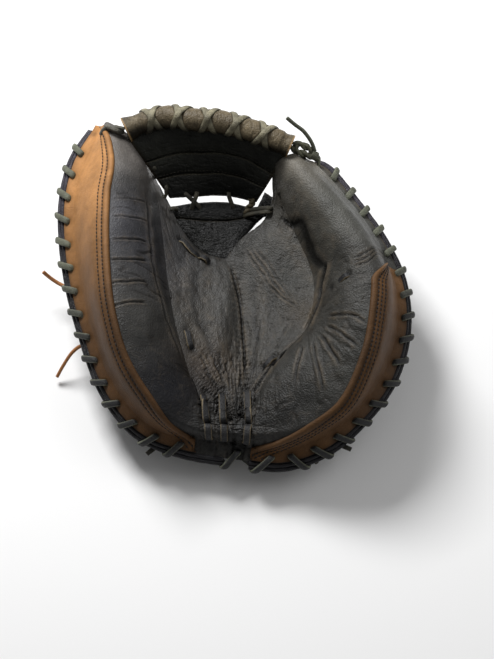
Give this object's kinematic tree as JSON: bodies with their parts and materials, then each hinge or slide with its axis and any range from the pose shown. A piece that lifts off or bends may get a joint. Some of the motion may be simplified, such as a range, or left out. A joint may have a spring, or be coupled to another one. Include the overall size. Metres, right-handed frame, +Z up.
{
  "type": "baseball catcher's mitt",
  "caption": "Padded leather catcher's mitt for the left hand, with a laced rim, a barred web, finger stalls, a wrist strap that peels open and a pocket that folds shut.",
  "frame": {"origin": "middle of the footprint, at the level of the back's resting patches", "axes": "+Z up out of the pocket, +Y from the heel towards the web, +X from the thumb towards the fingers"},
  "size_m": [0.2944, 0.2886, 0.1175],
  "materials": {
    "black_leather": "worn black cowhide",
    "tan_leather": "worn tan cowhide",
    "grey_lace": "olive-grey rawhide lace",
    "tan_lace": "tan rawhide lace",
    "felt": "pressed wool felt",
    "lining": "thin lining leather",
    "fleece": "hook-and-loop tape",
    "nickel": "nickel-plated wire"
  },
  "bodies": {
    "finger_side": {"back_finger": "black_leather", "binding_finger": "tan_leather", "gusset_finger": "black_leather", "heel_edge_lace": "grey_lace", "heel_lace_centre": "grey_lace", "heel_lace_finger": "grey_lace", "pad_index_finger": "felt", "pad_little_finger": "felt", "palm_lace_notch": "grey_lace", "palm_lace_pocket": "grey_lace", "palm_leather": "black_leather", "pocket_felt_finger": "felt", "rim_lace_finger": "grey_lace", "stall_index": "lining", "stall_little": "lining", "stall_middle": "lining", "stall_ring": "lining", "tail_index": "grey_lace", "tip_knot_finger": "grey_lace", "tip_loop_finger": "tan_lace", "trim_finger": "tan_leather", "web_bar_core": "felt", "web_bar_lace_inner": "grey_lace", "web_bar_lace_outer": "grey_lace", "web_bar_sleeve": "black_leather", "web_lace_finger": "grey_lace", "web_lace_middle": "grey_lace", "web_lace_thumb": "grey_lace", "web_lower_panel": "black_leather", "web_upper_panel": "black_leather", "welt_finger": "black_leather", "wrist_strap": "black_leather"},
    "thumb_side": {"back_thumb": "black_leather", "binding_thumb": "tan_leather", "gusset_thumb": "black_leather", "heel_lace_thumb": "grey_lace", "loop_patch": "fleece", "pad_thumb": "felt", "palm_lace_thumb": "grey_lace", "pocket_felt_thumb": "felt", "rim_lace_thumb": "grey_lace", "stall_thumb": "lining", "strap_keeper": "black_leather", "strap_ring": "nickel", "tail_thumb_lower": "tan_lace", "tail_thumb_upper": "tan_lace", "thumb_loop_lace": "tan_lace", "tip_lace_thumb": "grey_lace", "trim_thumb": "tan_leather", "web_base_lace": "grey_lace", "welt_thumb": "black_leather"},
    "strap_tab": {"hook_patch": "fleece", "strap_tab": "tan_leather"}
  },
  "joints": [
    {"name": "pocket_fold", "type": "hinge", "parent": "finger_side", "child": "thumb_side", "pos_m": [0.00386, -0.03368, 0.0426], "axis": [0, 1, 0], "range_deg": [0, 30], "stiffness_Nm_per_rad": 1, "springref_deg": -5.73, "deforming": ["heel_edge_lace", "heel_lace_centre", "heel_lace_finger", "palm_leather", "web_bar_core", "web_bar_lace_inner", "web_bar_lace_outer", "web_bar_sleeve", "web_lace_finger", "web_lace_middle", "web_lace_thumb", "web_lower_panel", "web_upper_panel", "wrist_strap"]},
    {"name": "strap_peel", "type": "hinge", "parent": "thumb_side", "child": "strap_tab", "pos_m": [-0.05434, -0.07568, 0], "axis": [0, 1, 0], "range_deg": [0, 110]}
  ]
}
